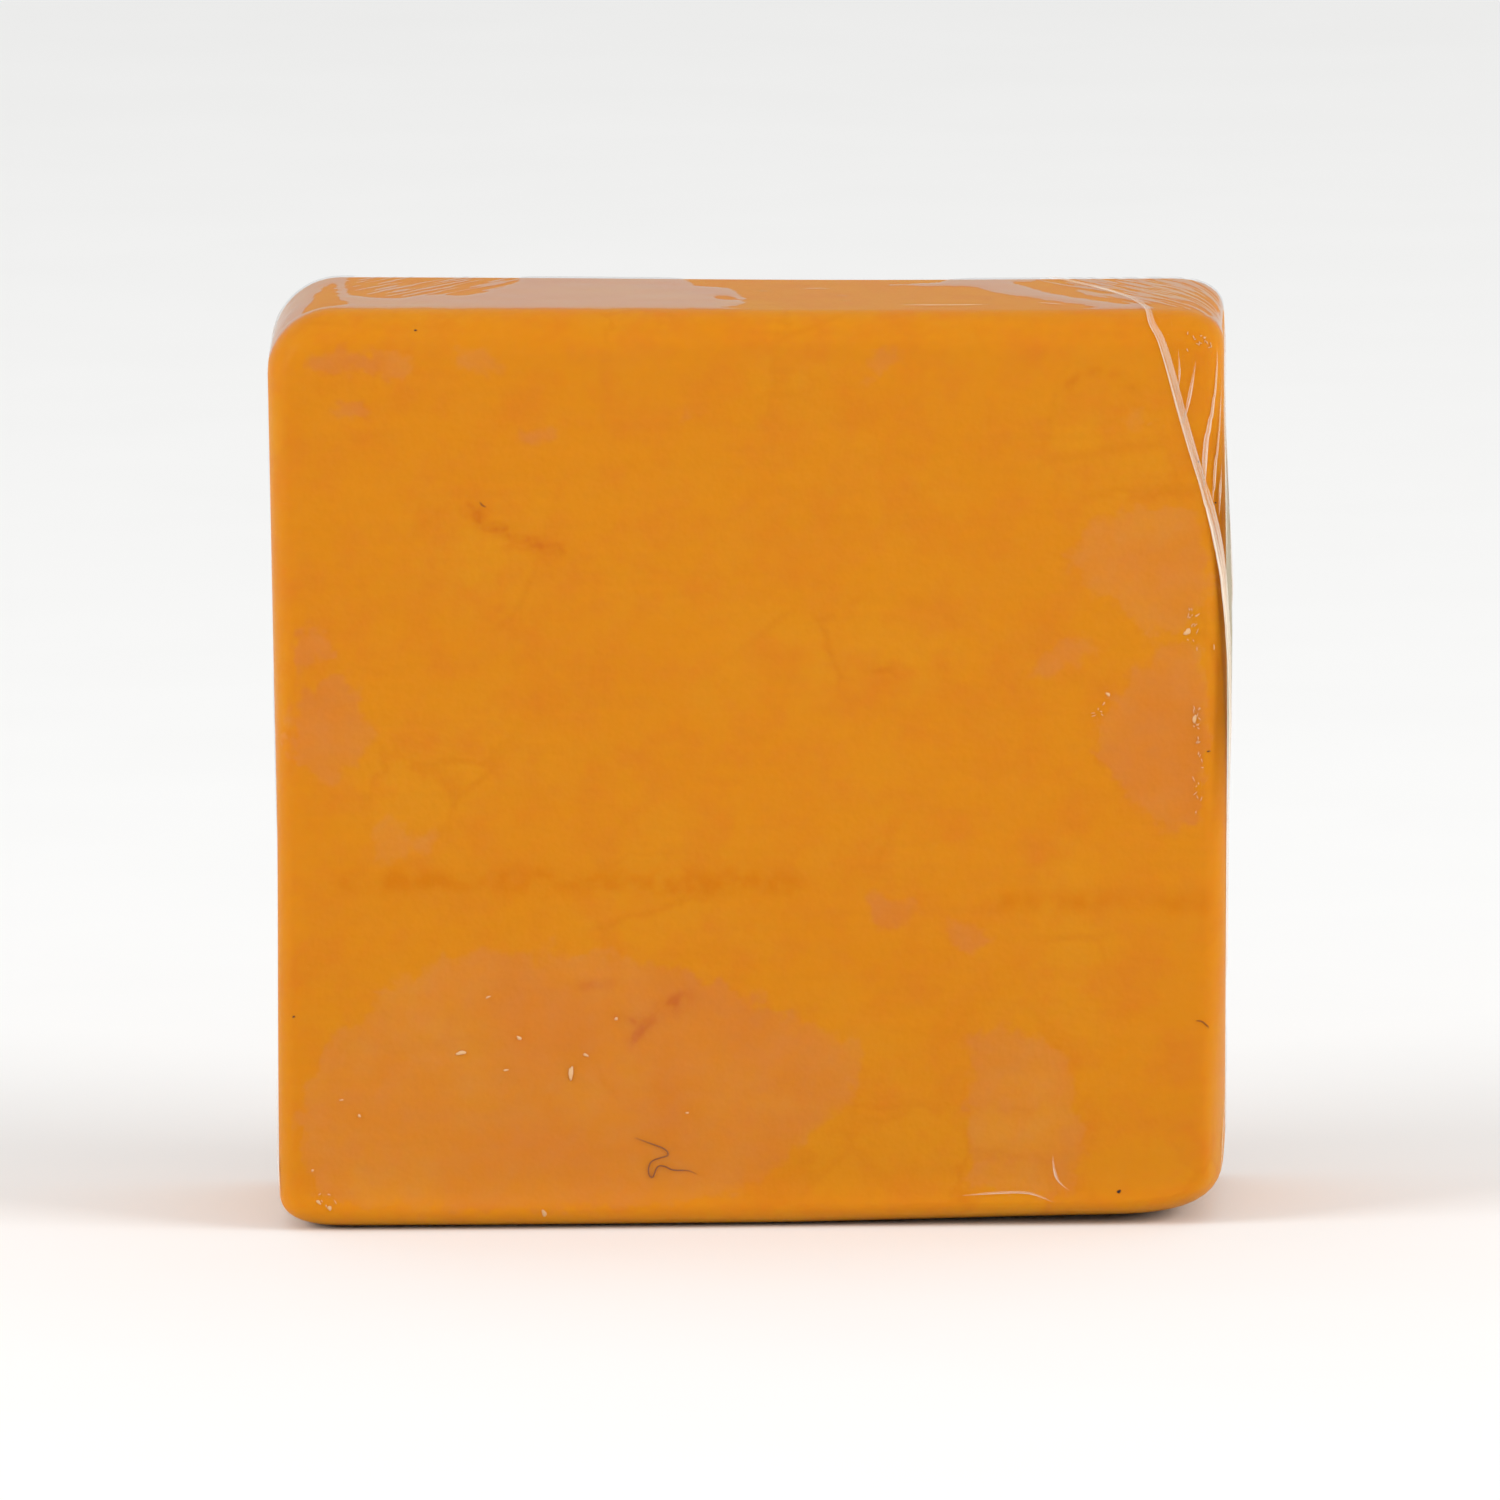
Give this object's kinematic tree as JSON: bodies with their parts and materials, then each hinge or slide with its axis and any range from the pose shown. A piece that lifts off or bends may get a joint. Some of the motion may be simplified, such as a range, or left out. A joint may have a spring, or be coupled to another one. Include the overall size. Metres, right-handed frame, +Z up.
{
  "type": "sealed cheddar block",
  "caption": "Square-faced block of coloured cheddar, rounded at its corners and sealed in tight clear film, standing on its narrow base.",
  "frame": {"origin": "on the surface the block stands on, under the middle of its box", "axes": "+X across the square front face to the right, +Y from the front face to the back, +Z up"},
  "size_m": [0.1858, 0.0706, 0.1784],
  "materials": {
    "cheddar": "smooth coloured cheddar, faintly mottled, waxy and slightly translucent",
    "film": "tight clear shrink film, glossy, with small creases and free patches"
  },
  "bodies": {
    "root": {"sealed_block": "cheddar"}
  },
  "joints": []
}
